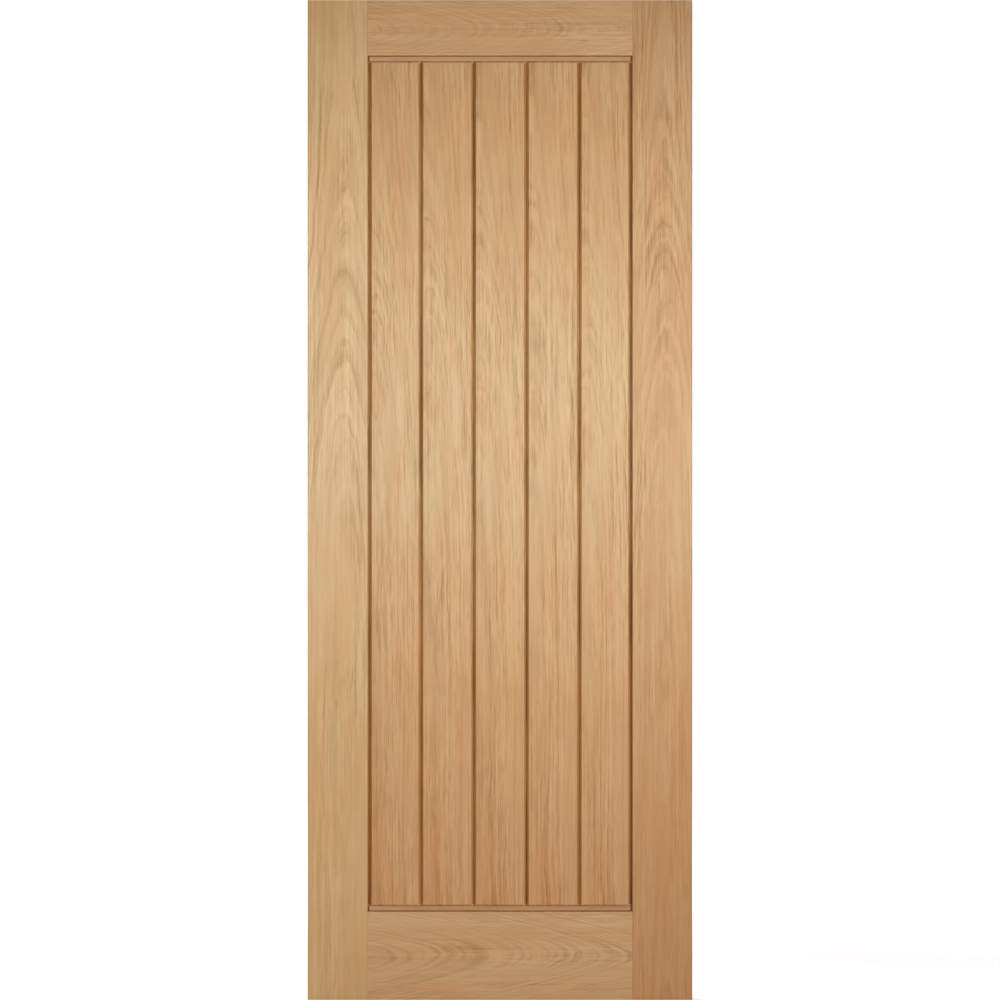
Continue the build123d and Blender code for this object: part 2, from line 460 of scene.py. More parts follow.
    def build_joint_shade(self) -> Tree:
        """Painted shade down in the V joints and the deep gaps, darkest at their roots.

        Returns:
            The group.
        """
        inputs = {"Colour": COLOUR, "Place": VECTOR, "Shade": COLOUR, "Deep shade": COLOUR}
        inputs |= floats("Face", "Low", "High", "Full", "Deep")
        desk = GroupDesk("joint_shade", inputs, {"Colour": COLOUR})
        given = desk.given
        _, through, along = desk.split(given["Place"])
        below = desk.minus(given["Face"], desk.math("ABSOLUTE", through))
        above_low = desk.math("GREATER_THAN", along, given["Low"])
        under_high = desk.math("LESS_THAN", along, given["High"])
        between = desk.times(above_low, under_high)
        # Painted shade: darker down the V walls, darker in patches at the roots, darkest on the deep gap
        # floors
        depth = desk.times(desk.spread(below, 0.0, given["Full"]), between)
        root = desk.times(desk.spread(below, given["Full"], given["Deep"]), between)
        painted_root_patches = desk.spread(desk.noise(given["Place"], self.GATHER_SCALE), *self.GATHER_REACH)
        shaded = desk.shade(depth, given["Colour"], given["Shade"])
        shaded = desk.shade(desk.times(painted_root_patches, root), shaded, (*self.GATHER_SHADE, 1.0))
        deep = desk.math("GREATER_THAN", below, given["Deep"])
        desk.give("Colour", desk.shade(deep, shaded, given["Deep shade"]))
        return desk.tree

    def build_cut_shade(self) -> Tree:
        """Deeper colour where a cut faces one way: the end grain's own darker tone, and painted shade
        on the leaf's outer arrises.

        Returns:
            The group.
        """
        inputs = {"Colour": COLOUR, "Shade": COLOUR} | floats("Facing", "Start", "Full", "Until")
        desk = GroupDesk("cut_shade", inputs, {"Colour": COLOUR})
        given = desk.given
        cut = desk.spread(given["Facing"], given["Start"], given["Full"])
        cut = desk.times(cut, desk.math("LESS_THAN", given["Facing"], given["Until"]))
        desk.give("Colour", desk.shade(cut, given["Colour"], given["Shade"]))
        return desk.tree

    def build_length_tone(self) -> Tree:
        """Painted shade: warmer and darker towards both ends of the leaf than in its lit middle.

        Returns:
            The group.
        """
        inputs = {"Colour": COLOUR, "Place": VECTOR, "Warm low": COLOUR, "Warm high": COLOUR}
        inputs |= floats("Low", "Turn low", "Turn high", "Middle", "High")
        desk = GroupDesk("length_tone", inputs, {"Colour": COLOUR})
        given = desk.given
        along = desk.split(given["Place"])[2]
        quick = desk.spread(along, given["Turn high"], given["Turn low"])
        slow = desk.spread(along, given["Turn low"], given["Low"], smooth=False)
        to_low = desk.blend(self.QUICK_SHARE, slow, quick)
        to_high = desk.spread(along, given["Middle"], given["High"], smooth=False)
        toned = desk.shade(to_low, given["Colour"], given["Warm low"])
        desk.give("Colour", desk.shade(to_high, toned, given["Warm high"]))
        return desk.tree


@dataclass(frozen=True)
class OakFigure:
    """How a piece was cut from the log: where the pith lies, and where its rings crown.

    Strength scales the rings and lines, texture the fibres and pores, and foot_calm is the share of them
    that is left well below the crown. cut_along and cut_through move the cut in the plank.
    """

    seed: float
    pith_across: float = 0.0
    pith_depth: float = 0.030
    ring_width: float = 0.0070
    crown_height: float = 1.35
    crown_reach: float = 0.32
    crown_rise: float = 0.034
    lean: float = 0.004
    wander: float = 0.0040
    ring_fade: float = 0.75
    strength: float = 1.0
    texture: float = 1.1
    foot_calm: float = 1.0
    cut_along: float = 0.0
    cut_through: float = 0.0


@dataclass(frozen=True)
class OakTone:
    """Colours of one piece of oak in linear red, green and blue, with painted shade towards its ends.

    Half of the low painted shade comes between the two turns, and half from the lower turn down to low.
    The high painted shade comes from the middle up to high. All five are heights on the leaf.
    """

    pale: Colour
    flushed: Colour
    line: Colour
    warm_low: Colour
    warm_high: Colour
    turn_low: float = 0.73
    turn_high: float = 1.05
    low: float = -0.05
    middle: float = 1.18
    high: float = CAD_BOX[1].z


@dataclass(frozen=True)
class JointShade:
    """Painted shade down in the V joints and the deep gaps, between the boards' ends."""

    face: float
    low: float
    high: float
    full: float = 1.5 * MM
    shade: Colour = (0.81, 0.70, 0.55)
    deep: float = 6.2 * MM
    deep_shade: Colour = (0.72, 0.62, 0.47)


@dataclass(frozen=True)
class CutShade:
    """Deeper colour on the faces that are cut one way.

    It comes in as a face turns from start to full, and ends at until, which no face reaches unless it is
    set lower.
    """

    start: float
    full: float
    shade: Colour
    until: float = 2.0


@dataclass(frozen=True)
class OakFinish:
    """Oiled oak for one piece: its tone, its figure and the way its grain runs.

    A stile's outer_side is the side of the leaf that it stands on, -1 or +1, where its arrises get
    painted shade.
    """

    tone: OakTone
    figure: OakFigure
    run: GrainRun
    joints: JointShade | None = None
    outer_side: int = 0
    end_grain: CutShade = CutShade(start=0.75, full=0.98, shade=(0.72, 0.64, 0.56))
    # Painted shade on the stiles' outer arrises
    outer_arris: CutShade = CutShade(start=0.05, full=0.30, shade=(0.66, 0.58, 0.50), until=0.97)
    specular: float = 0.35
    bump_strength: float = 0.25
    bump_depth: float = 0.25 * MM

    def material(self, name: str, centre: Vector, effects: OakEffects) -> bpy.types.Material:
        """Make the material for one piece. Each group takes what it needs from what is there before it.

        Args:
            name: The material's name.
            centre: The middle of the piece.
            effects: The shared shader groups.

        Returns:
            The material.
        """
        material = bpy.data.materials.new(name)
        desk = emptied_desk(material)
        coordinates = desk.add("ShaderNodeTexCoord").outputs
        place = coordinates["Object"]
        values = values_of(self.tone) | values_of(self.figure)
        values["Place"] = self.grain_place(desk, place, centre)
        for group in (effects.growth, effects.fibre, effects.colour):
            values |= self.placed(desk, group, values)
        # Painted shade, warmer and darker towards the leaf's ends
        values["Place"] = place
        values |= self.placed(desk, effects.length_tone, values)
        facing = desk.split(coordinates["Normal"])
        end = desk.math("ABSOLUTE", facing[2 if self.run is GrainRun.UPRIGHT else 0])
        # The end grain's own darker tone, and painted shade on a stile's outer arrises
        cuts = [(end, self.end_grain)]
        if self.outer_side:
            cuts.append((desk.times(facing[0], self.outer_side), self.outer_arris))
        for turned, cut in cuts:
            values["Facing"] = turned
            values |= self.placed(desk, effects.cut_shade, values | values_of(cut))
        # Painted shade in the V joints and the deep gaps
        if self.joints:
            values |= self.placed(desk, effects.joint_shade, values | values_of(self.joints))
        bump = desk.made("ShaderNodeBump", {
            "Strength": self.bump_strength, "Distance": self.bump_depth, "Height": values["Relief"]})
        shader = desk.made("ShaderNodeBsdfPrincipled", {
            "Base Color": values["Colour"], "Roughness": values["Roughness"],
            "Specular IOR Level": self.specular, "Normal": bump})
        desk.add("ShaderNodeOutputMaterial", {"Surface": shader})
        return material

    def grain_place(self, desk: NodeDesk, place: Feed, centre: Vector) -> Socket:
        """Turn a piece's place so that across, through and along the grain are its three parts.

        Args:
            desk: The material's desk.
            place: Object coordinates.
            centre: The middle of the piece.

        Returns:
            The turned place.
        """
        upright = self.run is GrainRun.UPRIGHT
        across = -centre.x if upright else centre.z
        fed = {
            "Vector": place, "Rotation": (0.0, 0.0 if upright else -QUARTER_TURN, 0.0),
            "Location": (across, self.figure.cut_through, self.figure.cut_along),
        }
        return desk.made("ShaderNodeMapping", fed, vector_type="POINT")

    @staticmethod
    def placed(desk: NodeDesk, group: Tree, values: dict[str, Feed]) -> dict[str, Socket]:
        """Place a shared group.

        Args:
            desk: The material's desk.
            group: The shared group.
            values: What each of its inputs gets by its label, among others.

        Returns:
            Its outputs by their labels.
        """
        node = desk.add("ShaderNodeGroup", node_tree=group)
        for socket in node.inputs:
            desk.feed(socket, values[socket.name])
        return dict(node.outputs.items())


@dataclass(frozen=True)
class TimberSizes:
    """What one length of timber is cut to: places along it, and depths from the leaf's middle."""

    low_end: float
    low_shoulder: float
    high_shoulder: float
    high_end: float
    end_chamfer: float
    face_depth: float
    root_depth: float
    tongue_depth: float
    wander: float
    wander_per_metre: float
    seed: float
    rows: int


class TimberSweep:
    """Geometry Nodes tree that runs a closed section along a straight length of timber.

    The section lies in X and Y, and the length runs along Z. Beyond each shoulder the timber is cut back
    to a tongue, and at the shoulder its face is chamfered.
    """

    ROW_STEP = 0.02 * MM
    END_ROWS = 3
    SWAY_SCALE = (40.0, 3.7, 1.0)
    CREASE = math.radians(30.0)
    PLACE = "section_place"
    HEIGHT = "row_height"
    EASE = "ease"

    def __init__(self) -> None:
        """Build the tree."""
        inputs = {"Section": GEOMETRY} | floats(*(label_of(item.name) for item in fields(TimberSizes)))
        inputs |= {"Rows": "NodeSocketInt", "Finish": "NodeSocketMaterial"}
        self.desk = GroupDesk("timber_sweep", inputs, {"Timber": GEOMETRY}, "GeometryNodeTree")
        swept = self.desk.made("GeometryNodeCurveToMesh", {
            "Curve": self.length_curve(), "Profile Curve": self.section_curve(), "Fill Caps": True})
        self.finish(self.shape(swept))

    def kept(self, geometry: Socket, name: str, value: Socket, kind: str = "FLOAT") -> Socket:
        """Store a named attribute on the points."""
        fed = {"Geometry": geometry, "Name": name, "Value": value}
        return self.desk.made("GeometryNodeStoreNamedAttribute", fed, data_type=kind, domain="POINT")

    def named(self, name: str, kind: str = "FLOAT") -> Socket:
        """Read a named attribute."""
        fed = {"Name": name}
        return self.desk.made("GeometryNodeInputNamedAttribute", fed, "Attribute", data_type=kind)

    def section_curve(self) -> Socket:
        """The section as a curve that remembers where each of its points lies.

        Returns:
            The curve.
        """
        place = self.desk.made("GeometryNodeInputPosition")
        section = self.kept(self.desk.given["Section"], self.PLACE, place, "FLOAT_VECTOR")
        return self.desk.made("GeometryNodeMeshToCurve", {0: section})

    def length_curve(self) -> Socket:
        """The line that the section runs along, with rows at the ends, the shoulders and the chamfers.

        Returns:
            The curve, whose points remember their height.
        """
        desk, given = self.desk, self.desk.given
        index = desk.made("GeometryNodeInputIndex")
        from_high = desk.minus(desk.minus(given["Rows"], 1.0), index)
        nearest = desk.math("MINIMUM", index, from_high)
        is_high = desk.math("GREATER_THAN", index, from_high)
        end = desk.blend(is_high, given["Low end"], given["High end"])
        shoulder = desk.blend(is_high, given["Low shoulder"], given["High shoulder"])
        outside = desk.total(shoulder, desk.blend(is_high, -self.ROW_STEP, self.ROW_STEP))
        body_rows = desk.minus(given["Rows"], 2 * self.END_ROWS + 1)
        body = desk.blend(
            desk.math("DIVIDE", desk.minus(index, self.END_ROWS), body_rows),
            desk.total(given["Low shoulder"], given["End chamfer"]),
            desk.minus(given["High shoulder"], given["End chamfer"]),
        )
        height = end
        for row, place in enumerate((outside, shoulder, body)):
            height = desk.blend(desk.math("GREATER_THAN", nearest, row + 0.5), height, place)
        line = desk.made(
            "GeometryNodeMeshLine", {"Count": given["Rows"]}, mode="OFFSET", count_mode="TOTAL")
        line = self.kept(line, self.HEIGHT, height)
        place = desk.join(0.0, 0.0, self.named(self.HEIGHT))
        line = desk.made("GeometryNodeSetPosition", {"Geometry": line, "Position": place})
        return desk.made("GeometryNodeMeshToCurve", {0: line})

    def shape(self, swept: Socket) -> Socket:
        """Cut the tongues and chamfers, and let the softened arrises wander a little.

        Args:
            swept: The plain swept timber.

        Returns:
            The shaped timber.
        """
        desk, given = self.desk, self.desk.given
        across, through, _ = desk.split(self.named(self.PLACE, "FLOAT_VECTOR"))
        height = self.named(self.HEIGHT)
        from_low = desk.minus(height, given["Low shoulder"])
        from_high = desk.minus(given["High shoulder"], height)
        inside = desk.math("MINIMUM", from_low, from_high)
        chamfered = desk.spread(
            inside, 0.0, given["End chamfer"], given["Root depth"], given["Face depth"], smooth=False)
        on_body = desk.math("GREATER_THAN", inside, -self.ROW_STEP / 2)
        limit = desk.blend(on_body, given["Tongue depth"], chamfered)
        depth = desk.math("MINIMUM", desk.math("ABSOLUTE", through), limit)
        through = desk.times(depth, desk.math("SIGN", through))
        place = desk.join(across, given["Seed"], desk.times(height, given["Wander per metre"]))
        sway = desk.centred_noise(place, self.SWAY_SCALE, given["Wander"])
        across = desk.total(across, desk.times(sway, self.named(self.EASE)))
        moved = desk.join(across, through, height)
        return desk.made("GeometryNodeSetPosition", {"Geometry": swept, "Position": moved})

    def finish(self, shaped: Socket) -> None:
        """Smooth the softened arrises, keep the corners crisp and give the timber its finish.

        Args:
            shaped: The shaped timber.
        """
        desk = self.desk
        smooth = desk.made("GeometryNodeSetShadeSmooth", {"Geometry": shaped}, domain="FACE")
        angle = desk.made("GeometryNodeInputMeshEdgeAngle", output="Unsigned Angle")
        creased = desk.math("GREATER_THAN", angle, self.CREASE)
        fed = {"Geometry": smooth, "Selection": creased, "Shade Smooth": False}
        crisp = desk.made("GeometryNodeSetShadeSmooth", fed, domain="EDGE")
        real = desk.made("GeometryNodeRealizeInstances", {0: crisp})
        fed = {"Geometry": real, "Material": desk.given["Finish"]}
        desk.give("Timber", desk.made("GeometryNodeSetMaterial", fed))

    def run(self, name: str, section: "Section", sizes: TimberSizes, finish: bpy.types.Material,
            turn: Matrix) -> bpy.types.Object:
        """Make one length of timber as a plain mesh.

        Args:
            name: The piece's name.
            section: The closed section.
            sizes: What it is cut to.
            finish: The material.
            turn: How the finished mesh is turned and moved to its place.

        Returns:
            The piece, at the origin, with its place in its mesh.
        """
        piece = bpy.data.objects.new(name, section.mesh(f"{name}_section"))
        bpy.context.scene.collection.objects.link(piece)
        modifier = piece.modifiers.new("timber_sweep", "NODES")
        modifier.node_group = self.desk.tree
        values = values_of(sizes) | {"Finish": finish}
        for item in self.desk.tree.interface.items_tree:
            if item.name in values:
                modifier[item.identifier] = values[item.name]
        evaluated = piece.evaluated_get(bpy.context.evaluated_depsgraph_get())
        mesh = bpy.data.meshes.new_from_object(evaluated)
        piece.modifiers.remove(modifier)
        mesh.transform(turn)
        shape = bmesh.new()
        shape.from_mesh(mesh)
        bmesh.ops.recalc_face_normals(shape, faces=shape.faces)
        shape.to_mesh(mesh)
        shape.free()
        for attribute in (self.PLACE, self.HEIGHT, self.EASE):
            if attribute in mesh.attributes:
                mesh.attributes.remove(mesh.attributes[attribute])
        mesh.name = name
        piece.data = mesh
        return piece


@dataclass
class Section:
    """A closed section in X and Y, point by point, with some corners softened."""

    points: list[Point] = field(default_factory=list)
    eases: list[float] = field(default_factory=list)

    def sharp(self, *points: Point) -> None:
        """Add points as they are."""
        self.points += points
        self.eases += [0.0] * len(points)

    def softened(self, before: Point, corner: Point, after: Point, reach: float, steps: int = 4) -> None:
        """Add a corner as a soft arris.

        Args:
            before: A point on the side that leads to the corner.
            corner: Where the two sides would meet.
            after: A point on the side that leads away.
            reach: How far from the corner the softening starts.
            steps: Number of facets.
        """
        at = Vector(corner)
        start = at + (Vector(before) - at).normalized() * reach
        end = at + (Vector(after) - at).normalized() * reach
        for step in range(steps + 1):
            share = step / steps
            place = start * (1 - share) ** 2 + at * 2 * share * (1 - share) + end * share ** 2
            self.points.append((place.x, place.y))
            self.eases.append(1.0)

    def mesh(self, name: str) -> bpy.types.Mesh:
        """Make the section a loop of edges.

        Args:
            name: The mesh's name.

        Returns:
            The mesh, whose points carry their ease.
        """
        count = len(self.points)
        mesh = bpy.data.meshes.new(name)
        edges = [(index, (index + 1) % count) for index in range(count)]
        mesh.from_pydata([(x, y, 0.0) for x, y in self.points], edges, [])
        ease = mesh.attributes.new(TimberSweep.EASE, "FLOAT", "POINT")
        ease.data.foreach_set("value", self.eases)
        return mesh


def node_middle(node: str) -> Vector:
    """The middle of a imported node's box."""
    low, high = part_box(node)
    return (low + high) / 2


def dress_node(node: str, material: bpy.types.Material) -> None:
    """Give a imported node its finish.

    Args:
        node: The node's name.
        material: Its material.
    """
    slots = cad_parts[node].data.materials
    slots.clear()
    slots.append(material)


# Each tone's low and high shades are painted shade that warms and darkens the leaf towards its ends
OLIVE_OAK = OakTone(
    pale=(0.715, 0.512, 0.290), flushed=(0.700, 0.462, 0.245), line=(0.360, 0.200, 0.060),
    warm_low=(1.0, 0.89, 0.71), warm_high=(1.0, 0.91, 0.75))
ROSY_OAK = OakTone(
    pale=(0.650, 0.418, 0.212), flushed=(0.640, 0.372, 0.175), line=(0.320, 0.155, 0.045),
    warm_low=(1.0, 0.775, 0.625), warm_high=(1.0, 0.93, 0.87), turn_low=0.50, turn_high=0.88)
BOARD_OAK = OakTone(
    pale=(0.668, 0.470, 0.250), flushed=(0.658, 0.420, 0.208), line=(0.330, 0.170, 0.050),
    warm_low=(1.0, 0.75, 0.60), warm_high=(1.0, 0.84, 0.71))
BEAD_OAK = OakTone(
    pale=(0.605, 0.420, 0.229), flushed=(0.595, 0.376, 0.190), line=(0.300, 0.155, 0.048),
    warm_low=(1.0, 0.78, 0.64), warm_high=(1.0, 0.84, 0.71))
RAIL_OAK = OakTone(
    pale=(0.700, 0.460, 0.246), flushed=(0.690, 0.415, 0.208), line=(0.335, 0.175, 0.055),
    warm_low=(1.0, 0.93, 0.86), warm_high=(1.0, 0.93, 0.86))
BEECH = OakTone(
    pale=(0.66, 0.47, 0.31), flushed=(0.64, 0.44, 0.28), line=(0.42, 0.26, 0.15),
    warm_low=(1.0, 1.0, 1.0), warm_high=(1.0, 1.0, 1.0))


@dataclass
class LeafFrame:
    """The two stiles and two rails, each with its own oak."""

    finishes: dict[str, OakFinish] = field(default_factory=lambda: {
        "left_stile": OakFinish(OLIVE_OAK, OakFigure(
            5.0, pith_across=0.013, pith_depth=0.052, ring_width=0.0084, crown_height=1.33,
            crown_reach=0.28, crown_rise=0.032, wander=0.0048, strength=0.95, texture=0.9,
            foot_calm=0.62), GrainRun.UPRIGHT, outer_side=-1),
        "right_stile": OakFinish(ROSY_OAK, OakFigure(
            2.0, pith_across=0.002, pith_depth=0.046, ring_width=0.0084, crown_height=1.40,
            crown_reach=0.40, crown_rise=0.032, wander=0.0048, strength=0.95, texture=1.1,
            foot_calm=0.48), GrainRun.UPRIGHT, outer_side=1),
        "top_rail": OakFinish(RAIL_OAK, OakFigure(
            3.0, pith_across=0.004, pith_depth=0.030, ring_width=0.0054, crown_height=0.05,
            crown_reach=0.40, crown_rise=0.080, wander=0.0052, strength=0.65,
            texture=0.95), GrainRun.LEVEL),
        "bottom_rail": OakFinish(RAIL_OAK, OakFigure(
            4.0, pith_across=-0.002, pith_depth=0.022, ring_width=0.0048, crown_height=0.04,
            crown_reach=0.40, crown_rise=0.085, wander=0.0040, ring_fade=0.6, strength=0.85,
            texture=0.7), GrainRun.LEVEL),
    })

    def dress(self, effects: OakEffects) -> None:
        """Dress the stiles and rails.

        Args:
            effects: The shared shader groups.
        """
        for node, finish in self.finishes.items():
            dress_node(node, finish.material(f"{node}_oak", node_middle(node), effects))
            log.info("%s: packed solid, oiled oak", node)


@dataclass
class BoardedPanel:
    """The five tongued and grooved boards with V joints between them, all cut from one plank."""

    count: int = 5
    chamfer_width: float = 4.8 * MM
    chamfer_depth: float = 6.0 * MM
    end_chamfer: float = 3.5 * MM
    end_depth: float = 2.5 * MM
    bead_gap: float = 0.5 * MM
    tongue_half: float = 5.0 * MM
    tongue_reach: float = 8.6 * MM
    tongue_nose: float = 1.2 * MM
    groove_half: float = 5.2 * MM
    groove_depth: float = 9.0 * MM
    frame_tongue_half: float = 8.5 * MM
    arris: float = 0.7 * MM
    wander: float = 0.35 * MM
    wander_per_metre: float = 9.0
    rows: int = 90
    plank: OakFigure = OakFigure(
        11.0, pith_across=-0.045, pith_depth=0.042, ring_width=0.0074, crown_height=1.42,
        crown_reach=0.36, crown_rise=0.030, wander=0.0038, strength=0.8, texture=1.25, foot_calm=0.80)
    slip_along: float = 16.0 * MM
    slip_through: float = 2.6 * MM

    def figure(self, index: int) -> OakFigure:
        """The figure of one board, which is cut a little further along the plank than the one before."""
        return replace(
            self.plank, cut_along=index * self.slip_along, cut_through=index * self.slip_through)

    def edges(self, index: int) -> tuple[EdgeJoint, EdgeJoint]:
        """Say what a board carries on its edges.

        Args:
            index: The board's number from the left, from zero.

        Returns:
            The joints of its left and right edges.
        """
        left = EdgeJoint.STILE_TONGUE if index == 0 else EdgeJoint.GROOVE
        right = EdgeJoint.STILE_TONGUE if index == self.count - 1 else EdgeJoint.TONGUE
        return left, right

    @staticmethod
    def frame_tongue_reach() -> float:
        """How far the outer boards' tongues reach into the stiles, from the ends of the beads."""
        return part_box("top_bead_front")[0].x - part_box("board_1")[0].x

    def edge_points(self, joint: EdgeJoint, shoulder: float, outward: int) -> list[Point]:
        """One edge of the board's back half, from its face side to its middle.

        Args:
            joint: What the edge carries.
            shoulder: Where the edge stands.
            outward: Which way is out of the board, +1 or -1.

        Returns:
            The points below the V chamfer.
        """
        if joint is EdgeJoint.GROOVE:
            inner = shoulder - outward * self.groove_depth
            return [(shoulder, self.groove_half), (inner, self.groove_half)]
        if joint is EdgeJoint.STILE_TONGUE:
            tip = shoulder + outward * self.frame_tongue_reach()
            return [(shoulder, self.frame_tongue_half), (tip, self.frame_tongue_half)]
        tip = shoulder + outward * self.tongue_reach
        nose = tip - outward * self.tongue_nose
        nose_half = self.tongue_half - self.tongue_nose
        return [(shoulder, self.tongue_half), (nose, self.tongue_half), (tip, nose_half)]

    def section(self, index: int, face: float) -> Section:
        """The closed section of one board.

        Args:
            index: The board's number from the left, from zero.
            face: Half the board's thickness.

        Returns:
            The section, with its face arrises softened.
        """
        low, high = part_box(f"board_{index + 1}")
        left_joint, right_joint = self.edges(index)
        left = low.x + (self.frame_tongue_reach() if left_joint is EdgeJoint.STILE_TONGUE else 0.0)
        is_last = right_joint is EdgeJoint.STILE_TONGUE
        right = high.x - (self.frame_tongue_reach() if is_last else self.tongue_reach)
        root = face - self.chamfer_depth
        left_edge = self.edge_points(left_joint, left, -1)
        right_edge = self.edge_points(right_joint, right, 1)
        left_arris = (left + self.chamfer_width, face)
        right_arris = (right - self.chamfer_width, face)
        section = Section()
        end_root = face - self.end_depth
        end_inset = self.chamfer_width * (self.chamfer_depth - self.end_depth) / self.chamfer_depth
        section.sharp(*reversed(right_edge), (right, root), (right - end_inset, end_root))
        section.softened((right, root), right_arris, left_arris, self.arris)
        section.softened(right_arris, left_arris, (left, root), self.arris)
        section.sharp((left + end_inset, end_root), (left, root), *left_edge)
        back = list(zip(section.points, section.eases))
        for (x, y), ease in reversed(back):
            section.points.append((x, -y))
            section.eases.append(ease)
        return section

    def build(self, sweep: TimberSweep, effects: OakEffects) -> None:
        """Run the boards, dress them and let them stand for their solids.

        Args:
            sweep: The shared timber sweep.
            effects: The shared shader groups.
        """
        low_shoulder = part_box("bottom_bead_front")[1].z + self.bead_gap
        high_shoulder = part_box("top_bead_front")[0].z - self.bead_gap
        for index in range(self.count):
            node = f"board_{index + 1}"
            figure = self.figure(index)
            low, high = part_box(node)
            sizes = TimberSizes(
                low_end=low.z, low_shoulder=low_shoulder, high_shoulder=high_shoulder, high_end=high.z,
                end_chamfer=self.end_chamfer, face_depth=high.y, root_depth=high.y - self.end_depth,
                tongue_depth=self.frame_tongue_half, wander=self.wander,
                wander_per_metre=self.wander_per_metre, seed=figure.seed + index, rows=self.rows)
            # Painted shade in the V joints, kept off the end chamfers
            joints = JointShade(
                face=high.y, low=low_shoulder + self.end_chamfer, high=high_shoulder - self.end_chamfer)
            finish = OakFinish(BOARD_OAK, figure, GrainRun.UPRIGHT, joints)
            material = finish.material(f"{node}_oak", node_middle(node), effects)
            section = self.section(index, high.y)
            piece = sweep.run(f"oak_{node}", section, sizes, material, Matrix.Identity(4))
            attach(piece, BODY)
            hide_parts(node)
            log.info("%s: %d faces", piece.name, len(piece.data.polygons))


@dataclass
class CrossBeads:
    """The narrow beads that cover the board tongues beside the rails, on both faces."""

    nodes: tuple[str, ...] = ("top_bead_front", "top_bead_back", "bottom_bead_front", "bottom_bead_back")
    arris: float = 2.0 * MM
    arris_steps: int = 6
    rows: int = 40
    wander: float = 0.12 * MM
    wander_per_metre: float = 7.0
    figure: OakFigure = OakFigure(
        21.0, pith_across=0.02, pith_depth=0.09, crown_rise=0.002, strength=0.5)

    def section(self, inner: float, outer: float, half_width: float) -> Section:
        """The closed section of a bead, with its two outer arrises rounded.

        Args:
            inner: Where it sits on the board tongue, in Y.
            outer: Its outer face, in Y.
            half_width: Half its width.

        Returns:
            The section, with its width along X.
        """
        corners = [(-half_width, inner), (-half_width, outer), (half_width, outer), (half_width, inner)]
        section = Section()
        section.sharp(corners[0])
        section.softened(*corners[:3], self.arris, self.arris_steps)
        section.softened(*corners[1:], self.arris, self.arris_steps)
        section.sharp(corners[3])
        return section

    def build(self, sweep: TimberSweep, effects: OakEffects) -> None:
        """Run the beads, dress them and let them stand for their solids.

        Args:
            sweep: The shared timber sweep.
            effects: The shared shader groups.
        """
        for number, node in enumerate(self.nodes):
            low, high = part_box(node)
            middle = node_middle(node)
            inner, outer = sorted((low.y, high.y), key=abs)
            depth = abs(outer)
            figure = replace(self.figure, seed=self.figure.seed + number)
            finish = OakFinish(BEAD_OAK, figure, GrainRun.LEVEL)
            material = finish.material(f"{node}_oak", middle, effects)
            sizes = TimberSizes(
                low_end=low.x, low_shoulder=low.x + self.arris, high_shoulder=high.x - self.arris,
                high_end=high.x, end_chamfer=self.arris, face_depth=depth, root_depth=depth,
                tongue_depth=depth, wander=self.wander, wander_per_metre=self.wander_per_metre,
                seed=figure.seed, rows=self.rows)
            turn = Matrix.Translation((0.0, 0.0, middle.z)) @ Matrix.Rotation(QUARTER_TURN, 4, "Y")
            section = self.section(inner, outer, (high.z - low.z) / 2)
            piece = sweep.run(f"oak_{node}", section, sizes, material, turn)
            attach(piece, BODY)
            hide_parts(node)
            log.info("%s: %d faces", piece.name, len(piece.data.polygons))


@dataclass
class CornerDowels:
    """The fluted dowels that pin the four corners."""

    nodes: tuple[str, ...] = (
        "top_left_dowels", "top_right_dowels", "bottom_left_dowels", "bottom_right_dowels")
    figure: OakFigure = OakFigure(
        31.0, pith_depth=0.12, ring_width=0.002, crown_rise=0.0, wander=0.001, strength=0.3)

    def dress(self, effects: OakEffects) -> None:
        """Give the dowels plain beech.

        Args:
            effects: The shared shader groups.
        """
        finish = OakFinish(BEECH, self.figure, GrainRun.LEVEL)
        for node in self.nodes:
            dress_node(node, finish.material(f"{node}_beech", node_middle(node), effects))
            log.info("%s: packed solid, beech", node)


@dataclass(kw_only=True)
class Lamp:
    """A soft lamp, with where it hangs and what it is turned to.

    One that is not mirrored lights the leaf but leaves no bright reflection on it.
    """

    name: str
    place: Triple
    aim: Triple
    power: float
    mirrored: bool = True

    def light(self) -> bpy.types.Light:
        """The light itself, which each kind of lamp makes."""
        raise NotImplementedError

    def throw(self) -> Vector:
        """The way from the lamp to its aim."""
        return Vector(self.aim) - Vector(self.place)

    def hang(self) -> None:
        """Put the lamp in the scene, turned to its aim and unseen by the camera."""
        light = self.light()
        light.energy = self.power
        lamp = bpy.data.objects.new(self.name, light)
        lamp.location = self.place
        lamp.rotation_euler = self.throw().to_track_quat("-Z", "Y").to_euler()
        lamp.visible_camera = False
        lamp.visible_glossy = self.mirrored
        bpy.context.scene.collection.objects.link(lamp)


@dataclass(kw_only=True)
class Softbox(Lamp):
    """A flat soft lamp."""

    size: tuple[float, float]

    def light(self) -> bpy.types.Light:
        """Make the light.

        Returns:
            A rectangle of light.
        """
        light = bpy.data.lights.new(self.name, "AREA")
        light.shape = "RECTANGLE"
        light.size, light.size_y = self.size
        return light


@dataclass(kw_only=True)
class Pool(Lamp):
    """A large round lamp whose light pools on the leaf, over a reach round its aim."""

    radius: float
    reach: float

    def light(self) -> bpy.types.Light:
        """Make the light.

        Returns:
            A cone of light that fades from its middle to its edge.
        """
        light = bpy.data.lights.new(self.name, "SPOT")
        light.shadow_soft_size = self.radius
        light.spot_size = 2 * math.atan2(self.reach, self.throw().length)
        light.spot_blend = 1.0
        return light


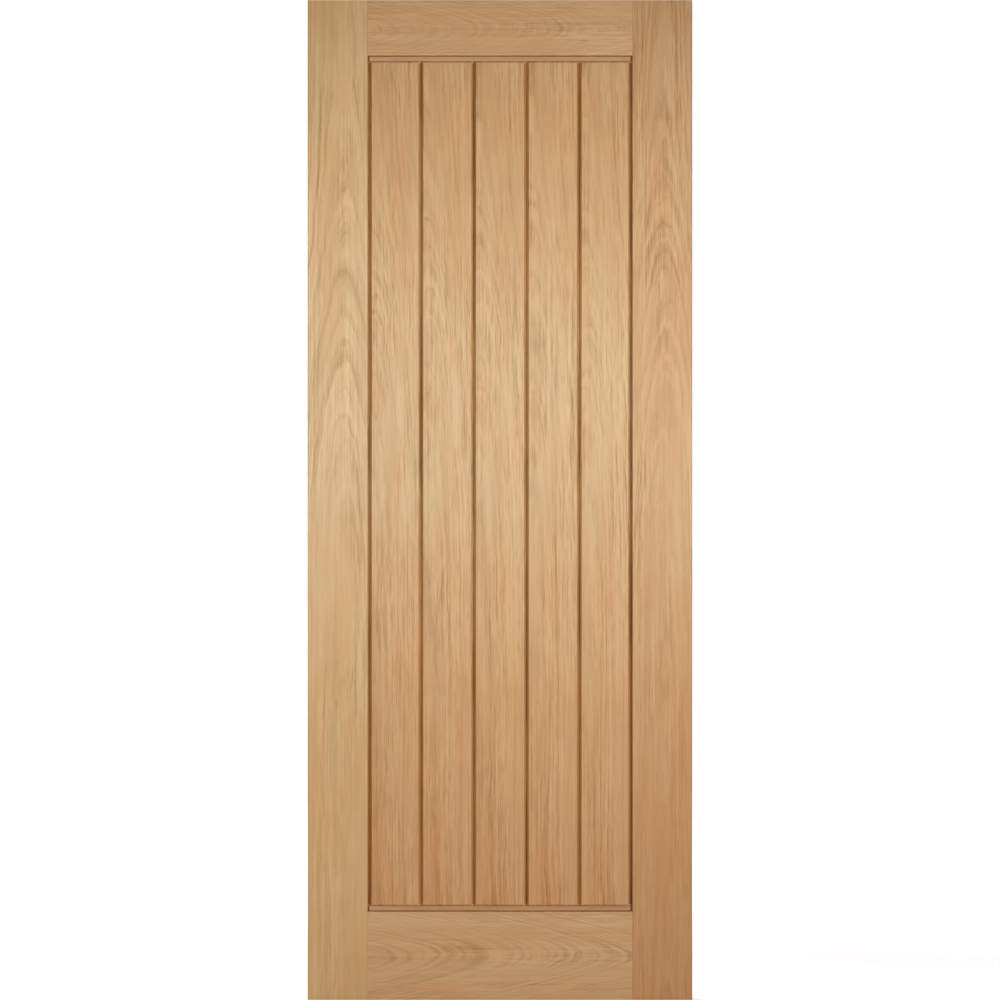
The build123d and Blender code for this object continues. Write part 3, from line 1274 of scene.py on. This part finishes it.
@dataclass
class Studio:
    """Pale floor, white surroundings, soft lamps and the camera."""

    camera_distance: float = 8.0
    sensor: float = 36.0
    floor_reach: float = 60.0
    floor_colour: Colour = (0.60, 0.60, 0.60)
    near_glow: float = 0.54
    far_glow: float = 1.0
    glow_from: float = 0.9
    glow_to: float = 2.4
    fill: float = 0.12
    lamps: tuple[Lamp, ...] = (
        Pool(name="right_key", place=(3.8, -5.9, 2.0), aim=(0.0, 0.0, 0.90), radius=0.45, reach=1.75,
             power=930.0),
        Softbox(name="front_strip", place=(0.0, -1.25, 1.19), aim=(0.0, 0.0, 1.40), size=(2.6, 0.35),
                power=12.6),
        Softbox(name="back_window", place=(-2.4, 3.2, 2.4), aim=(0.0, 0.0, 1.0), size=(2.0, 2.0),
                power=170.0, mirrored=False),
        Softbox(name="left_strip", place=(-1.3, 0.0, 1.0), aim=(0.0, 0.0, 1.0), size=(0.05, 1.8),
                power=4.0, mirrored=False),
        Softbox(name="right_strip", place=(1.3, 0.0, 1.0), aim=(0.0, 0.0, 1.0), size=(0.05, 1.8),
                power=5.0, mirrored=False),
        Softbox(name="top_strip", place=(0.0, 0.0, 2.9), aim=(0.0, 0.0, 1.0), size=(0.8, 0.05),
                power=4.2, mirrored=False),
    )

    def build(self) -> None:
        """Set up the whole studio."""
        bpy.context.scene.view_settings.view_transform = "Standard"
        self.lay_floor()
        self.surround()
        for lamp in self.lamps:
            lamp.hang()
        self.place_camera()

    @staticmethod
    def seen(desk: NodeDesk) -> Socket:
        """Tell whether the camera, a mirror or a glass looks at the surface.

        Args:
            desk: The material's or world's desk.

        Returns:
            One if so, and zero for the light that falls on the leaf.
        """
        path = desk.add("ShaderNodeLightPath").outputs
        seen = desk.math("MAXIMUM", path["Is Camera Ray"], path["Is Glossy Ray"])
        return desk.math("MAXIMUM", seen, path["Is Transmission Ray"])

    def lay_floor(self) -> None:
        """Lay the pale floor, which looks white but keeps the leaf's shadow."""
        reach = self.floor_reach / 2
        mesh = bpy.data.meshes.new("floor")
        corners = [(x * reach, y * reach, 0.0) for x, y in ((-1, -1), (1, -1), (1, 1), (-1, 1))]
        mesh.from_pydata(corners, [], [(0, 1, 2, 3)])
        floor = bpy.data.objects.new("floor", mesh)
        bpy.context.scene.collection.objects.link(floor)
        material = bpy.data.materials.new("pale_floor")
        desk = emptied_desk(material)
        place = desk.add("ShaderNodeTexCoord").outputs["Object"]
        far = desk.made("ShaderNodeVectorMath", {0: place}, "Value", operation="LENGTH")
        glow = desk.spread(far, self.glow_from, self.glow_to, self.near_glow, self.far_glow)
        matt = desk.made("ShaderNodeBsdfDiffuse", {"Color": (*self.floor_colour, 1.0)})
        bright = desk.made("ShaderNodeEmission", {"Strength": desk.times(self.seen(desk), glow)})
        both = desk.made("ShaderNodeAddShader", {0: matt, 1: bright})
        desk.add("ShaderNodeOutputMaterial", {"Surface": both})
        mesh.materials.append(material)

    def surround(self) -> None:
        """White surroundings for the camera, and a soft even fill for the leaf."""
        world = bpy.data.worlds.new("white_surroundings")
        desk = emptied_desk(world)
        strength = desk.blend(self.seen(desk), self.fill, 1.0)
        sky = desk.made("ShaderNodeBackground", {"Color": (1.0, 1.0, 1.0, 1.0), "Strength": strength})
        desk.add("ShaderNodeOutputWorld", {"Surface": sky})
        bpy.context.scene.world = world

    def place_camera(self) -> None:
        """Stand the camera square in front of the leaf, so that the leaf fills the picture's height."""
        low, high = CAD_BOX
        data = bpy.data.cameras.new("camera")
        data.sensor_width = self.sensor
        data.sensor_fit = "HORIZONTAL"
        data.lens = self.sensor * (self.camera_distance + low.y) / (high.z - low.z)
        camera = bpy.data.objects.new("camera", data)
        camera.location = (0.0, -self.camera_distance, (low.z + high.z) / 2)
        camera.rotation_euler = (QUARTER_TURN, 0.0, 0.0)
        bpy.context.scene.collection.objects.link(camera)
        bpy.context.scene.camera = camera


def main() -> None:
    """Build and dress the leaf, then light it."""
    logging.basicConfig(level=logging.INFO, format="%(message)s")
    effects = OakEffects()
    sweep = TimberSweep()
    LeafFrame().dress(effects)
    BoardedPanel().build(sweep, effects)
    CrossBeads().build(sweep, effects)
    CornerDowels().dress(effects)
    Studio().build()


if __name__ == "__main__":
    main()
